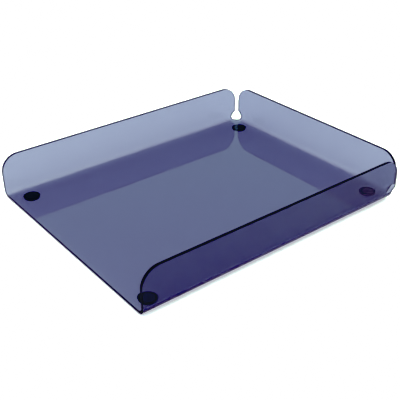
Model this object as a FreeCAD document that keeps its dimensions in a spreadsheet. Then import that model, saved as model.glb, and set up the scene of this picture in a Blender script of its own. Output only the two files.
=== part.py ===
import FreeCAD, Part
import Sketcher
import os

# Letter tray: one sheet of tinted acrylic, line-bent into a base with two side walls and a back
# wall, open at the front, on four stick-on rubber feet.
# Frame: millimetres, +Z up, +Y towards the back wall, +X to the right when facing the back wall.
# The origin is on the desk, under the middle of the tray's footprint.

# An inset is measured inwards from the tray's outer faces. The feet are stuck on by hand, so
# each one has insets of its own, to the side wall and to the end of the tray.
DRIVING_DIMENSIONS = {
    "tray_width": 258,
    "tray_length": 320,
    "wall_height": 44.5,
    "sheet_thickness": 3,
    "bend_inner_radius": 4.5,
    "top_corner_radius": 18.5,
    "wall_end_setback": 6,
    "relief_hole_radius": 9.5,
    "foot_top_radius": 8.5,
    "foot_sole_radius": 7.8,
    "foot_height": 2.2,
    "foot_edge_radius": 0.5,
    "adhesive_radius": 6,
    "adhesive_thickness": 0.3,
    "front_left_side_inset": 21,
    "front_left_end_inset": 20,
    "front_right_side_inset": 19.5,
    "front_right_end_inset": 17,
    "back_left_side_inset": 27.5,
    "back_left_end_inset": 20,
    "back_right_side_inset": 25.5,
    "back_right_end_inset": 20.5,
}

# The middle of the sheet keeps its length in a bend, so the sheet is flat again half a bend's
# length away from the bend's centre line. The relief holes are drilled before bending, where
# two bend lines cross, and relief_inset is how far in from the outer faces that point comes to
# lie. Up to half_bend_depth in from the outer faces, a bend belongs to its own wall's half.
DERIVED_DIMENSIONS = {
    "bend_outer_radius": "=bend_inner_radius + sheet_thickness",
    "half_bend_length": "=0.25 * pi * (bend_inner_radius + 0.5 * sheet_thickness)",
    "relief_inset": "=bend_outer_radius - half_bend_length",
    "half_bend_depth": "=bend_outer_radius - bend_inner_radius * cos(45)",
    "base_underside": "=foot_height + adhesive_thickness",
}

# Each corner of the base, with the side of the frame it is on: along X, then along Y.
CORNERS = {
    "front_left": (-1, -1),
    "front_right": (1, -1),
    "back_left": (-1, 1),
    "back_right": (1, 1),
}

START = 1
END = 2
CENTRE = 3
ORIGIN = (-1, START)
LENGTH_TOLERANCE = 0.001

document = FreeCAD.newDocument("letter_tray")


def make_sheet():
    """The spreadsheet that every sub-part's sizes are bound to."""
    sheet = document.addObject("Spreadsheet::Sheet", "size")
    contents = {**DRIVING_DIMENSIONS, **DERIVED_DIMENSIONS}
    for row, (alias, content) in enumerate(contents.items(), start=1):
        sheet.set(f"A{row}", alias)
        sheet.set(f"B{row}", str(content))
        sheet.setAlias(f"B{row}", alias)
    document.recompute()
    return sheet


size = make_sheet()


def new_body(label):
    body = document.addObject("PartDesign::Body", label)
    body.Label = label
    return body


def origin_plane(body, role):
    return next(item for item in body.Origin.OriginFeatures if item.Role == role)


def new_sketch(body, name, role, offset=None):
    """A sketch on one of the body's origin planes, moved along the plane's normal by offset."""
    sketch = body.newObject("Sketcher::SketchObject", name)
    sketch.AttachmentSupport = [(origin_plane(body, role), "")]
    sketch.MapMode = "FlatFace"
    if offset:
        sketch.setExpression("AttachmentOffset.Base.z", offset)
    return sketch


def constrain(sketch, name, expression, kind, *elements):
    """Add a named dimension to the sketch, bound to an expression."""
    index = sketch.addConstraint(Sketcher.Constraint(kind, *elements, 1.0))
    sketch.renameConstraint(index, name)
    sketch.setExpression(f"Constraints.{name}", expression)


def draw_outline(sketch, points):
    """Close a loop of level and upright lines, and of slanting ones, through the points."""
    corners = [FreeCAD.Vector(x, y, 0) for x, y in points]
    for index, corner in enumerate(corners):
        after = corners[(index + 1) % len(corners)]
        sketch.addGeometry(Part.LineSegment(corner, after))
        if corner.y == after.y:
            sketch.addConstraint(Sketcher.Constraint("Horizontal", index))
        elif corner.x == after.x:
            sketch.addConstraint(Sketcher.Constraint("Vertical", index))
    for index in range(len(corners)):
        after = (index + 1) % len(corners)
        sketch.addConstraint(Sketcher.Constraint("Coincident", index, END, after, START))


def new_pad(body, name, sketch, length):
    pad = body.newObject("PartDesign::Pad", name)
    pad.Profile = sketch
    pad.setExpression("Length", length)
    document.recompute()
    return pad


def new_pocket(body, name, sketch, length):
    """Cut along the direction in which the sketch plane faces, and check that it does cut."""
    volume = body.Tip.Shape.Volume
    pocket = body.newObject("PartDesign::Pocket", name)
    pocket.Profile = sketch
    pocket.Reversed = True
    pocket.setExpression("Length", length)
    document.recompute()
    if pocket.Shape.Volume >= volume:
        raise RuntimeError(f"{name} cuts nothing")
    return pocket


def new_fillet(body, name, radius, is_wanted):
    """Round those edges of the body for which is_wanted(edge) is true."""
    edges = body.Tip.Shape.Edges
    names = [f"Edge{index}" for index, edge in enumerate(edges, start=1) if is_wanted(edge)]
    base = body.Tip
    fillet = body.newObject("PartDesign::Fillet", name)
    fillet.Base = (base, names)
    fillet.setExpression("Radius", radius)
    document.recompute()
    return fillet


def near(first, second):
    return abs(first - second) < LENGTH_TOLERANCE


def at_height(shape, height):
    """Whether the whole edge or face lies at one height."""
    return near(shape.BoundBox.ZMin, height) and near(shape.BoundBox.ZMax, height)


def make_block(body):
    """The space that the bent sheet wraps: a block of the tray's outer size."""
    sketch = new_sketch(body, "footprint", "XY_Plane")
    half_width = size.tray_width / 2
    half_length = size.tray_length / 2
    draw_outline(sketch, [
        (-half_width, -half_length),
        (half_width, -half_length),
        (half_width, half_length),
        (-half_width, half_length),
    ])
    sketch.addConstraint(Sketcher.Constraint("Symmetric", 0, START, 2, START, *ORIGIN))
    constrain(sketch, "width", "size.tray_width", "DistanceX", 0, START, 0, END)
    constrain(sketch, "length", "size.tray_length", "DistanceY", 1, START, 1, END)
    new_pad(body, "block", sketch, "size.wall_height")


def make_bent_sheet(body):
    """Round the block where the sheet bends, then hollow it, open at the top and the front."""
    front = -size.tray_length / 2
    new_fillet(
        body, "bends", "size.bend_outer_radius",
        lambda edge: at_height(edge, 0) and not near(edge.BoundBox.YMax, front),
    )
    base = body.Tip
    open_faces = [
        f"Face{index}" for index, face in enumerate(base.Shape.Faces, start=1)
        if at_height(face, size.wall_height) or near(face.BoundBox.YMax, front)
    ]
    sheet = body.newObject("PartDesign::Thickness", "sheet")
    sheet.Base = (base, open_faces)
    sheet.Reversed = True
    sheet.setExpression("Value", "size.sheet_thickness")
    document.recompute()


def make_corner_notch(body):
    """Part the side wall from the back wall with a square cut centred on the outer corner."""
    sketch = new_sketch(body, "notch_outline", "XY_Plane")
    setback = size.wall_end_setback
    corner_x = -size.tray_width / 2
    corner_y = size.tray_length / 2
    draw_outline(sketch, [
        (corner_x - setback, corner_y - setback),
        (corner_x + setback, corner_y - setback),
        (corner_x + setback, corner_y + setback),
        (corner_x - setback, corner_y + setback),
    ])
    constrain(sketch, "across", "2 * size.wall_end_setback", "DistanceX", 0, START, 0, END)
    constrain(sketch, "along", "2 * size.wall_end_setback", "DistanceY", 1, START, 1, END)
    constrain(
        sketch, "side", "size.tray_width / 2 - size.wall_end_setback",
        "DistanceX", 1, START, *ORIGIN,
    )
    constrain(
        sketch, "end", "size.tray_length / 2 - size.wall_end_setback",
        "DistanceY", *ORIGIN, 1, START,
    )
    return new_pocket(body, "notch", sketch, "size.wall_height")


def make_relief_hole(body, name, role, offset, across, up):
    """One wall's or the base's share of the relief hole, cut straight through the sheet.

    across and up give the hole's centre on the sketch, as an expression with its sign.
    """
    sketch = new_sketch(body, f"{name}_circle", role, offset)
    centre = FreeCAD.Vector(across[0], up[0], 0)
    up_axis = FreeCAD.Vector(0, 0, 1)
    sketch.addGeometry(Part.Circle(centre, up_axis, size.relief_hole_radius))
    constrain(sketch, "radius", "size.relief_hole_radius", "Radius", 0)
    for axis, (sign, expression) in zip(("DistanceX", "DistanceY"), (across, up)):
        ends = (*ORIGIN, 0, CENTRE) if sign > 0 else (0, CENTRE, *ORIGIN)
        constrain(sketch, axis.lower(), expression, axis, *ends)
    return new_pocket(body, name, sketch, "size.half_bend_depth")


def make_corner_relief(body):
    """The relief hole of the back left corner, as it lies in the base and in the two walls."""
    to_side = (-1, "size.tray_width / 2 - size.relief_inset")
    to_back = (1, "size.tray_length / 2 - size.relief_inset")
    upwards = (1, "size.relief_inset")
    side_face = "-size.tray_width / 2"
    back_face = "-size.tray_length / 2"
    return [
        make_relief_hole(body, "relief_in_base", "XY_Plane", None, to_side, to_back),
        make_relief_hole(body, "relief_in_side", "YZ_Plane", side_face, to_back, upwards),
        make_relief_hole(body, "relief_in_back", "XZ_Plane", back_face, to_side, upwards),
    ]


def mirror_left_to_right(body, features):
    mirrored = body.newObject("PartDesign::Mirrored", "right_corner")
    mirrored.Originals = features
    mirrored.MirrorPlane = (origin_plane(body, "YZ_Plane"), [""])
    body.Tip = mirrored
    document.recompute()


def make_tray_shell():
    body = new_body("tray_shell")
    make_block(body)
    make_bent_sheet(body)
    notch = make_corner_notch(body)
    mirror_left_to_right(body, [notch, *make_corner_relief(body)])
    new_fillet(
        body, "top_corners", "size.top_corner_radius",
        lambda edge: at_height(edge, size.wall_height) and near(edge.Length, size.sheet_thickness),
    )
    body.setExpression("Placement.Base.z", "size.base_underside")
    return body


def make_foot(corner):
    """A round moulded rubber foot with drafted sides and a rounded edge round its sole."""
    body = new_body(f"foot_{corner}")
    sketch = new_sketch(body, f"foot_{corner}_section", "XZ_Plane")
    draw_outline(sketch, [
        (0, 0),
        (size.foot_sole_radius, 0),
        (size.foot_top_radius, size.foot_height),
        (0, size.foot_height),
    ])
    sketch.addConstraint(Sketcher.Constraint("Coincident", 0, START, *ORIGIN))
    constrain(sketch, "sole_radius", "size.foot_sole_radius", "DistanceX", 0, START, 0, END)
    constrain(sketch, "top_radius", "size.foot_top_radius", "DistanceX", *ORIGIN, 1, END)
    constrain(sketch, "height", "size.foot_height", "DistanceY", *ORIGIN, 1, END)
    turned = body.newObject("PartDesign::Revolution", f"foot_{corner}_turned")
    turned.Profile = sketch
    turned.ReferenceAxis = (sketch, ["V_Axis"])
    turned.Angle = 360
    document.recompute()
    new_fillet(
        body, f"foot_{corner}_sole_edge", "size.foot_edge_radius",
        lambda edge: at_height(edge, 0),
    )
    return body


def make_adhesive(corner):
    """The round double-sided adhesive pad between a foot and the base."""
    pad = document.addObject("Part::Cylinder", f"adhesive_{corner}")
    pad.Label = f"adhesive_{corner}"
    pad.setExpression("Radius", "size.adhesive_radius")
    pad.setExpression("Height", "size.adhesive_thickness")
    pad.setExpression("Placement.Base.z", "size.foot_height")
    return pad


def place_at_corner(piece, corner):
    side, end = CORNERS[corner]
    x = f"{side} * (size.tray_width / 2 - size.{corner}_side_inset)"
    y = f"{end} * (size.tray_length / 2 - size.{corner}_end_inset)"
    piece.setExpression("Placement.Base.x", x)
    piece.setExpression("Placement.Base.y", y)


def make_sub_parts():
    sub_parts = [make_tray_shell()]
    for corner in CORNERS:
        for make in (make_foot, make_adhesive):
            piece = make(corner)
            place_at_corner(piece, corner)
            sub_parts.append(piece)
    document.recompute()
    return sub_parts


def check(sub_parts):
    """Stop before anything is written if a feature failed or a shape isn't one good solid."""
    for item in document.Objects:
        if "Invalid" in item.State or "Error" in item.State:
            raise RuntimeError(f"{item.Name} failed: {item.State}")
    for part in sub_parts:
        if part.Shape.isNull() or not part.Shape.isValid() or len(part.Shape.Solids) != 1:
            raise RuntimeError(f"{part.Label} isn't one valid solid")


def write(sub_parts):
    os.makedirs("parts", exist_ok=True)
    for part in sub_parts:
        part.Shape.exportStep(f"parts/{part.Label}.step")
        box = part.Shape.BoundBox
        print(
            f"{part.Label}: {part.Shape.Volume:.1f} mm3, "
            f"x {box.XMin:.2f} to {box.XMax:.2f}, y {box.YMin:.2f} to {box.YMax:.2f}, "
            f"z {box.ZMin:.2f} to {box.ZMax:.2f}"
        )


finished = make_sub_parts()
check(finished)
write(finished)
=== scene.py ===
import bmesh
import bpy
import math
from mathutils import Matrix, Vector


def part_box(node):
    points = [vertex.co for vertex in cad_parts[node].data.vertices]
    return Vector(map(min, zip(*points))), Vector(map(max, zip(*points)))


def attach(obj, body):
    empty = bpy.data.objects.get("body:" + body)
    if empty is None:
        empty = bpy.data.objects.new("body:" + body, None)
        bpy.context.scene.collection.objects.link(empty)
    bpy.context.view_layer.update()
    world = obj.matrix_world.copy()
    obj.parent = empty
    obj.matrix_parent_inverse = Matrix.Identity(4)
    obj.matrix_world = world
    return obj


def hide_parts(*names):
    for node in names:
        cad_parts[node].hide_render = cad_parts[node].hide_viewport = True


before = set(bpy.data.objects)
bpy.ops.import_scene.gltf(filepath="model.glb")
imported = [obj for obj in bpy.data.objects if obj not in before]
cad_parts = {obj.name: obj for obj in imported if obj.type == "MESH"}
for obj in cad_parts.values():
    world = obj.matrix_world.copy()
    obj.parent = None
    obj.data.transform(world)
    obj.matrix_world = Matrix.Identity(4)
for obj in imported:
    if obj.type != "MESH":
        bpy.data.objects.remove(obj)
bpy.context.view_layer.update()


# ---------------------------------------------------------------- sizes, in metres
# What the frame gives. The sheet's underside stays just clear of the adhesive pads' tops, so that
# no two faces lie in one plane.
SHELL_LOW, SHELL_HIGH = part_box("tray_shell")
HALF_WIDTH = SHELL_HIGH.x
HALF_LENGTH = SHELL_HIGH.y
ADHESIVE_CLEARANCE = 0.00002
UNDERSIDE = SHELL_LOW.z + ADHESIVE_CLEARANCE
WALL_TOP = SHELL_HIGH.z

# How the sheet is cut and bent, as in the CAD model.
SHEET = 0.003
BEND_INNER = 0.0045
BEND_OUTER = BEND_INNER + SHEET
BEND_LENGTH = 0.5 * math.pi * (BEND_INNER + 0.5 * SHEET)
TOP_CORNER = 0.0185
WALL_END_SETBACK = 0.006
RELIEF_RADIUS = 0.0095

# The flat sheet: how far the base is flat, and how far a wall's flap is flat beyond its bend.
FLAT_HALF_WIDTH = HALF_WIDTH - BEND_OUTER
FLAT_BACK = HALF_LENGTH - BEND_OUTER
FLAP = WALL_TOP - UNDERSIDE - BEND_OUTER

# How finely it is modelled. A cut uses a point that lies within SNAP of it, and points within
# MERGE of each other become one. At LARGEST_FACE_ONLY, a point's shading follows the largest face
# that it is a corner of.
EDGE_ROUNDING = 0.0001
ROUNDING_SEGMENTS = 2
BEND_STRIPS = 14
ARC_STEP = math.radians(5)
SNAP = 0.00001
MERGE = 0.000001
LARGEST_FACE_ONLY = 100

# Soft studio light: how bright the surroundings are between two heights above the horizon, in
# degrees, as shares of LIGHT_STRENGTH. A wide panel hangs overhead, and a ring of softer light
# lower down is what the sheet mirrors.
LIGHT_STRENGTH = 2.5
LIGHT_ZONES = (
    (0, 16, (0.36, 0.36, 0.36)),
    (20, 38, (0.27, 0.385, 0.37)),
    (41, 58, (0.24, 0.24, 0.24)),
    (62, 90, (0.72, 0.84, 0.68)),
)
FLOOR_HALF = 4.0
FLOOR_COLOUR = (0.88, 0.88, 0.88)
FLOOR_GLOW = (0.37, 0.35, 0.4)
FLOOR_ROUGHNESS = 0.9

# Looks. A SIZE is how large a noise's patches are, in metres, a STRETCH is how many times longer
# they are along X, Y and Z, and a RANGE is the part of the noise's values over which the look
# fades in. Most of a noise's values lie in CLOUD_CORE. A DEPTH is how deep a relief is, in metres.
CLOUD_CORE = (0.3, 0.7)

# Acrylic. ABSORPTION is how strongly a metre of it takes up red, green and blue light.
ABSORPTION = (314.0, 292.0, 207.0)
ACRYLIC_IOR = 1.49
CLEAR = (1, 1, 1)
WAVE_SIZE = 0.06
WAVE_DEPTH = 0.00005
SCRATCH_SIZE = 0.0004
SCRATCH_STRETCH = (1, 70, 1)
SCRATCH_RANGE = (0.66, 0.7)
SCRATCH_ROUGHNESS = (0.0, 0.12)
RUBBED_SIZE = 0.05
RUBBED_RANGE = (0.4, 0.7)

# The acrylic's cut edges.
# The two edge colours below are painted shade: a dark navy, with bluer streaks, for the little light
# that comes out of a cut edge.
PAINTED_EDGE_SHADE = (0.008, 0.01, 0.08)
PAINTED_SHADE_STREAKS = (0.04, 0.05, 0.3)
STREAK_SIZE = 0.0005
STREAK_STRETCH = (3, 3, 1)
STREAK_RANGE = (0.35, 0.75)
EDGE_ROUGHNESS = 0.55
SATIN_SIZE = 0.0008
SATIN_SHARE = (0.8, 1.0)
SAW_SIZE = 0.0006
SAW_DEPTH = 0.00004

# Rubber feet.
RUBBER_COLOUR = (0.011, 0.011, 0.013)
RUBBER_DUST = (0.03, 0.029, 0.03)
RUBBER_ROUGHNESS = (0.48, 0.68)
GRAIN_SIZE = 0.0004
GRAIN_DEPTH = 0.00003
DUST_SIZE = 0.003
DUST_RANGE = (0.45, 0.75)

# Foam tape.
FOAM_COLOUR = (0.28, 0.31, 0.27)
FOAM_WETTED = (0.22, 0.25, 0.22)
FOAM_ROUGHNESS = (0.55, 0.8)
CELL_SIZE = 0.00035
CELL_DEPTH = 0.00004
WETTED_SIZE = 0.0025
WETTED_RANGE = (0.4, 0.65)

# Tones of a product photograph, as (scene, picture) brightness in red, green and blue: deep
# blacks, and a pale floor that turns to plain white and loses the sheet's blue.
TONE_CURVES = (
    ((0.094, 0.0064), (0.617, 0.58), (0.745, 1.0)),
    ((0.121, 0.009), (0.628, 0.58), (0.752, 1.0)),
    ((0.103, 0.013), (0.618, 0.58), (0.7, 0.61), (0.8, 1.0)),
)

# The camera stands in front, to the right of the tray and above it. Its azimuth turns from the
# front towards the right, and its lens and sensor are in millimetres.
CAMERA_POSITION = Vector((0.5249, -0.4073, 0.3814))
CAMERA_AZIMUTH = math.radians(52.26)
CAMERA_ELEVATION = math.radians(30.10)
CAMERA_ROLL = math.radians(-0.60)
CAMERA_SENSOR = 36.0
CAMERA_LENS = 65.66
CAMERA_CLIP_START = 0.01

CORNERS = ("front_left", "front_right", "back_left", "back_right")


# ---------------------------------------------------------------- the bent sheet
def arc(centre, radius, start, end):
    """Points along an arc, angles in radians, ends included."""
    steps = max(2, round(abs(end - start) / ARC_STEP))
    angles = [start + (end - start) * step / steps for step in range(steps + 1)]
    return [
        (centre[0] + radius * math.cos(angle), centre[1] + radius * math.sin(angle))
        for angle in angles
    ]


def right_half_of_outline():
    """The flat sheet's outline from the front edge's middle, round its right half, to the back."""
    flap_edge = FLAT_HALF_WIDTH + BEND_LENGTH + FLAP
    back_edge = FLAT_BACK + BEND_LENGTH + FLAP
    side_wall_end = HALF_LENGTH - WALL_END_SETBACK
    back_wall_end = HALF_WIDTH - WALL_END_SETBACK
    hole = (FLAT_HALF_WIDTH + 0.5 * BEND_LENGTH, FLAT_BACK + 0.5 * BEND_LENGTH)
    quarter = 0.5 * math.pi

    front_corner = arc(
        (flap_edge - TOP_CORNER, TOP_CORNER - HALF_LENGTH), TOP_CORNER, -quarter, 0
    )
    side_back_corner = arc(
        (flap_edge - TOP_CORNER, side_wall_end - TOP_CORNER), TOP_CORNER, 0, quarter
    )
    # The relief hole runs clockwise from the side wall's end, through the base, to the back wall's.
    slot_angle = math.asin((side_wall_end - hole[1]) / RELIEF_RADIUS)
    relief = arc(hole, RELIEF_RADIUS, slot_angle, -1.5 * math.pi - slot_angle)
    back_corner = arc(
        (back_wall_end - TOP_CORNER, back_edge - TOP_CORNER), TOP_CORNER, 0, quarter
    )
    return [(0, -HALF_LENGTH), *front_corner, *side_back_corner, *relief, *back_corner]


def sheet_outline():
    right = right_half_of_outline()
    left = [(-x, y) for x, y in reversed(right[1:])]
    return right + left


def bend(distance, flat_end, depth):
    """Where a point of the flat sheet goes across a bend: (distance out, height).

    distance runs along the sheet, the bend starts at flat_end, and depth is how far the point
    lies inside the sheet, from its outer face.
    """
    past = distance - flat_end
    if past <= 0:
        return distance, depth
    if past >= BEND_LENGTH:
        return flat_end + BEND_OUTER - depth, BEND_OUTER + past - BEND_LENGTH
    angle = past / BEND_LENGTH * 0.5 * math.pi
    radius = BEND_OUTER - depth
    return flat_end + radius * math.sin(angle), BEND_OUTER - radius * math.cos(angle)


def place(x, y, depth):
    """A point of the flat sheet, depth inside its outer face, as it lies in the bent tray."""
    if abs(x) - FLAT_HALF_WIDTH > y - FLAT_BACK:
        out, height = bend(abs(x), FLAT_HALF_WIDTH, depth)
        return Vector((math.copysign(out, x), y, UNDERSIDE + height))
    out, height = bend(y, FLAT_BACK, depth)
    return Vector((x, out, UNDERSIDE + height))


def flat_plate():
    """The flat sheet, outer face down, its cut edges a little rounded."""
    mesh = bmesh.new()
    cut = mesh.faces.layers.float.new("cut_edge")
    outline = sheet_outline()
    outer = [mesh.verts.new((x, y, 0)) for x, y in outline]
    inner = [mesh.verts.new((x, y, SHEET)) for x, y in outline]
    for after in range(len(outline)):
        here = after - 1
        side = mesh.faces.new([outer[here], outer[after], inner[after], inner[here]])
        side[cut] = 1.0
    mesh.faces.new(inner)
    mesh.faces.new(reversed(outer))
    # The bevel goes by the faces' normals, which new faces don't have yet.
    mesh.normal_update()
    arrises = [edge for edge in mesh.edges if edge.verts[0].co.z == edge.verts[1].co.z]
    rounded = bmesh.ops.bevel(
        mesh, geom=arrises, offset=EDGE_ROUNDING, offset_type="OFFSET",
        segments=ROUNDING_SEGMENTS, profile=0.5, affect="EDGES", clamp_overlap=False,
    )
    for face in rounded["faces"]:
        face[cut] = 1.0
    return mesh


def cut_into_strips(mesh):
    """Cut the flat plate into narrow strips where it will bend."""
    across = Vector((1, 0, 0))
    along = Vector((0, 1, 0))
    for strip in range(BEND_STRIPS + 1):
        past = BEND_LENGTH * strip / BEND_STRIPS
        cuts = [
            (across * (FLAT_HALF_WIDTH + past), across),
            (across * -(FLAT_HALF_WIDTH + past), across),
            (along * (FLAT_BACK + past), along),
        ]
        for point, normal in cuts:
            everything = mesh.verts[:] + mesh.edges[:] + mesh.faces[:]
            bmesh.ops.bisect_plane(
                mesh, geom=everything, dist=SNAP, plane_co=point, plane_no=normal
            )


def middle(element):
    """The middle of a point's, an edge's or a face's corners, as (x, y, z)."""
    corners = element.verts if hasattr(element, "verts") else [element]
    total = sum((corner.co for corner in corners), Vector())
    return (total / len(corners))[:]


def sort_by_position(mesh):
    """Put the points, edges and faces in order of position, so that the order is the same each run."""
    for elements in (mesh.verts, mesh.edges, mesh.faces):
        in_order = sorted(elements, key=middle)
        ranks = {element: rank for rank, element in enumerate(in_order)}
        elements.sort(key=ranks.get)


def make_shell():
    """The bent sheet as a closed mesh: the flat plate, with every point put where bending takes it."""
    mesh = flat_plate()
    cut_into_strips(mesh)
    bmesh.ops.remove_doubles(mesh, verts=mesh.verts[:], dist=MERGE)
    sort_by_position(mesh)
    for vertex in mesh.verts:
        vertex.co = place(*vertex.co)
    data = bpy.data.meshes.new("bent_sheet")
    mesh.to_mesh(data)
    mesh.free()
    data.shade_smooth()
    shell = bpy.data.objects.new("bent_sheet", data)
    bpy.context.scene.collection.objects.link(shell)
    normals = shell.modifiers.new("flat_faces_stay_flat", "WEIGHTED_NORMAL")
    normals.weight = LARGEST_FACE_ONLY
    return shell


# ---------------------------------------------------------------- materials
class Shader:
    """A material's nodes, made and joined by short calls."""

    def __init__(self, name):
        self.material = bpy.data.materials.new(name)
        self.material.use_nodes = True
        self.nodes = self.material.node_tree.nodes
        self.links = self.material.node_tree.links
        self.surface = self.nodes["Principled BSDF"]
        self.output = self.nodes["Material Output"]
        self.coordinates = self.nodes.new("ShaderNodeTexCoord").outputs["Object"]

    def node(self, kind, **settings):
        made = self.nodes.new(kind)
        for name, value in settings.items():
            setattr(made, name, value)
        return made

    def join(self, source, target):
        self.links.new(source, target)

    def cut_edge(self):
        """1 on the faces where the sheet was cut, and 0 on the sheet's own two faces."""
        return self.node("ShaderNodeAttribute", attribute_name="cut_edge").outputs["Fac"]

    def noise(self, size, detail=2.0, stretch=(1, 1, 1)):
        """Cloudy noise from 0 to 1, with patches about size metres across, times the stretch."""
        scaled = self.node("ShaderNodeMapping")
        scaled.inputs["Scale"].default_value = [1 / (size * along) for along in stretch]
        noise = self.node("ShaderNodeTexNoise")
        noise.inputs["Scale"].default_value = 1.0
        noise.inputs["Detail"].default_value = detail
        self.join(self.coordinates, scaled.inputs["Vector"])
        self.join(scaled.outputs["Vector"], noise.inputs["Vector"])
        return noise.outputs["Fac"]

    def remap(self, value, source, target=(0.0, 1.0)):
        """Stretch the source range of values onto the target range, and hold the ends."""
        mapping = self.node("ShaderNodeMapRange")
        for socket, end in zip(("From Min", "From Max", "To Min", "To Max"), (*source, *target)):
            mapping.inputs[socket].default_value = end
        self.join(value, mapping.inputs["Value"])
        return mapping.outputs["Result"]

    def combine(self, operation, first, second):
        """Both values added, multiplied and so on. The second may be a plain number."""
        combined = self.node("ShaderNodeMath", operation=operation)
        self.join(first, combined.inputs[0])
        if isinstance(second, (int, float)):
            combined.inputs[1].default_value = second
        else:
            self.join(second, combined.inputs[1])
        return combined.outputs["Value"]

    def blend(self, factor, first, second):
        """The first colour where the factor is 0, and the second where it is 1."""
        mixed = self.node("ShaderNodeMixRGB")
        self.join(factor, mixed.inputs["Fac"])
        for socket, colour in ((mixed.inputs["Color1"], first), (mixed.inputs["Color2"], second)):
            if isinstance(colour, tuple):
                socket.default_value = (*colour, 1)
            else:
                self.join(colour, socket)
        return mixed.outputs["Color"]

    def relief(self, height, depth):
        """Roughen the surface: height from 0 to 1 stands depth metres proud."""
        bump = self.node("ShaderNodeBump")
        bump.inputs["Strength"].default_value = 1.0
        bump.inputs["Distance"].default_value = depth
        self.join(height, bump.inputs["Height"])
        self.join(bump.outputs["Normal"], self.surface.inputs["Normal"])


def acrylic_material():
    """Tinted acrylic: clear and glossy, and darker the further light goes through it.

    The cut edges are satin, and their colour is painted shade: dark navy with bluer streaks, standing
    in for the little light that comes out of them. The glossy faces have the faint waves of a heated
    sheet, and hairline scratches where papers slide.
    """
    shader = Shader("tinted_acrylic")
    surface = shader.surface
    cut = shader.cut_edge()
    surface.inputs["Transmission Weight"].default_value = 1.0
    surface.inputs["IOR"].default_value = ACRYLIC_IOR
    streaks = shader.remap(shader.noise(STREAK_SIZE, stretch=STREAK_STRETCH), STREAK_RANGE)
    # Painted shade on the cut edges: a dark colour with bluer streaks, in place of the light they let
    # out.
    edge_painted_shade = shader.blend(streaks, PAINTED_EDGE_SHADE, PAINTED_SHADE_STREAKS)
    shader.join(shader.blend(cut, CLEAR, edge_painted_shade), surface.inputs["Base Color"])

    hairlines = shader.noise(SCRATCH_SIZE, detail=0.0, stretch=SCRATCH_STRETCH)
    scratches = shader.remap(hairlines, SCRATCH_RANGE)
    rubbed = shader.remap(shader.noise(RUBBED_SIZE), RUBBED_RANGE)
    wear = shader.combine("MULTIPLY", scratches, rubbed)
    face_roughness = shader.remap(wear, (0.0, 1.0), SCRATCH_ROUGHNESS)
    satin = shader.remap(shader.noise(SATIN_SIZE), CLOUD_CORE, SATIN_SHARE)
    satin_edge = shader.combine("MULTIPLY", satin, cut)
    edge_roughness = shader.combine("MULTIPLY", satin_edge, EDGE_ROUGHNESS)
    roughness = shader.combine("MAXIMUM", edge_roughness, face_roughness)
    shader.join(roughness, surface.inputs["Roughness"])

    waves = shader.combine("MULTIPLY", shader.noise(WAVE_SIZE, detail=0.0), WAVE_DEPTH / SAW_DEPTH)
    saw_marks = shader.combine("MULTIPLY", shader.noise(SAW_SIZE, detail=1.0), cut)
    shader.relief(shader.combine("ADD", waves, saw_marks), SAW_DEPTH)

    tint = shader.node("ShaderNodeVolumeAbsorption")
    strongest = max(ABSORPTION)
    tint.inputs["Color"].default_value = (*(1 - part / strongest for part in ABSORPTION), 1)
    tint.inputs["Density"].default_value = strongest
    shader.join(tint.outputs["Volume"], shader.output.inputs["Volume"])
    return shader.material


def rubber_material():
    """Black moulded rubber: a fine pebbled grain, with a little dust in patches."""
    shader = Shader("foot_rubber")
    surface = shader.surface
    grain = shader.noise(GRAIN_SIZE, detail=4.0)
    dust = shader.remap(shader.noise(DUST_SIZE, detail=4.0), DUST_RANGE)
    shader.join(shader.blend(dust, RUBBER_COLOUR, RUBBER_DUST), surface.inputs["Base Color"])
    shader.join(shader.remap(grain, CLOUD_CORE, RUBBER_ROUGHNESS), surface.inputs["Roughness"])
    shader.relief(grain, GRAIN_DEPTH)
    return shader.material


def adhesive_material():
    """Grey double-sided foam tape: tiny cells, and patches where it has wetted the sheet."""
    shader = Shader("adhesive_pad")
    surface = shader.surface
    cells = shader.noise(CELL_SIZE, detail=3.0)
    wetted = shader.remap(shader.noise(WETTED_SIZE, detail=3.0), WETTED_RANGE)
    shader.join(shader.blend(wetted, FOAM_COLOUR, FOAM_WETTED), surface.inputs["Base Color"])
    shader.join(shader.remap(cells, CLOUD_CORE, FOAM_ROUGHNESS), surface.inputs["Roughness"])
    shader.relief(cells, CELL_DEPTH)
    return shader.material


def floor_material():
    """A plain pale studio floor that glows a little, so that shadows on it stay pale."""
    shader = Shader("floor")
    surface = shader.surface
    surface.inputs["Base Color"].default_value = (*FLOOR_COLOUR, 1)
    surface.inputs["Roughness"].default_value = FLOOR_ROUGHNESS
    surface.inputs["Emission Color"].default_value = (*FLOOR_GLOW, 1)
    surface.inputs["Emission Strength"].default_value = 1.0
    return shader.material


# ---------------------------------------------------------------- the scene
def make_floor():
    mesh = bmesh.new()
    bmesh.ops.create_grid(mesh, x_segments=1, y_segments=1, size=FLOOR_HALF)
    data = bpy.data.meshes.new("floor")
    mesh.to_mesh(data)
    mesh.free()
    floor = bpy.data.objects.new("floor", data)
    bpy.context.scene.collection.objects.link(floor)
    data.materials.append(floor_material())


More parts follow.
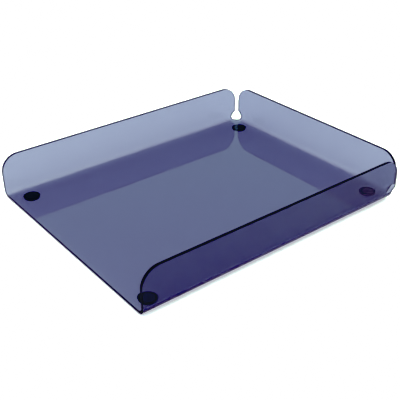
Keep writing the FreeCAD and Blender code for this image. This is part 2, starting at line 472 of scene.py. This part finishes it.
def make_light():
    """Surroundings whose brightness changes only with height, zone by zone."""
    world = bpy.data.worlds.new("studio")
    world.use_nodes = True
    nodes = world.node_tree.nodes
    links = world.node_tree.links
    direction = nodes.new("ShaderNodeTexCoord")
    parts = nodes.new("ShaderNodeSeparateXYZ")
    zones = nodes.new("ShaderNodeValToRGB")
    stops = zones.color_ramp.elements
    stops.remove(stops[-1])
    for lowest, highest, share in LIGHT_ZONES:
        for elevation in (lowest, highest):
            position = math.sin(math.radians(elevation))
            stop = stops[0] if elevation == 0 else stops.new(position)
            stop.color = (*share, 1)
    links.new(direction.outputs["Generated"], parts.inputs["Vector"])
    links.new(parts.outputs["Z"], zones.inputs["Fac"])
    links.new(zones.outputs["Color"], nodes["Background"].inputs["Color"])
    nodes["Background"].inputs["Strength"].default_value = LIGHT_STRENGTH
    bpy.context.scene.world = world


def make_tones():
    """Bend the view's tones into straight stretches between the corners of TONE_CURVES."""
    view = bpy.context.scene.view_settings
    view.view_transform = "Standard"
    view.use_curve_mapping = True
    tones = view.curve_mapping
    for curve, corners in zip(tones.curves, TONE_CURVES):
        for scene_brightness, picture_brightness in corners:
            curve.points.new(scene_brightness, picture_brightness)
        for point in curve.points:
            point.handle_type = "VECTOR"
    tones.update()


def make_camera():
    back = Vector((
        math.sin(CAMERA_AZIMUTH) * math.cos(CAMERA_ELEVATION),
        -math.cos(CAMERA_AZIMUTH) * math.cos(CAMERA_ELEVATION),
        math.sin(CAMERA_ELEVATION),
    ))
    level_right = Vector((math.cos(CAMERA_AZIMUTH), math.sin(CAMERA_AZIMUTH), 0))
    level_up = back.cross(level_right)
    right = math.cos(CAMERA_ROLL) * level_right + math.sin(CAMERA_ROLL) * level_up
    up = math.cos(CAMERA_ROLL) * level_up - math.sin(CAMERA_ROLL) * level_right
    data = bpy.data.cameras.new("camera")
    data.sensor_width = CAMERA_SENSOR
    data.lens = CAMERA_LENS
    data.clip_start = CAMERA_CLIP_START
    camera = bpy.data.objects.new("camera", data)
    turn = Matrix((right, up, back)).transposed().to_4x4()
    camera.matrix_world = Matrix.Translation(CAMERA_POSITION) @ turn
    bpy.context.scene.collection.objects.link(camera)
    bpy.context.scene.camera = camera


make_tones()
make_camera()
make_light()
make_floor()

shell = make_shell()
shell.data.materials.append(acrylic_material())
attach(shell, "root")
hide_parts("tray_shell")

rubber = rubber_material()
adhesive = adhesive_material()
for corner in CORNERS:
    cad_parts[f"foot_{corner}"].data.materials[0] = rubber
    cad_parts[f"adhesive_{corner}"].data.materials[0] = adhesive
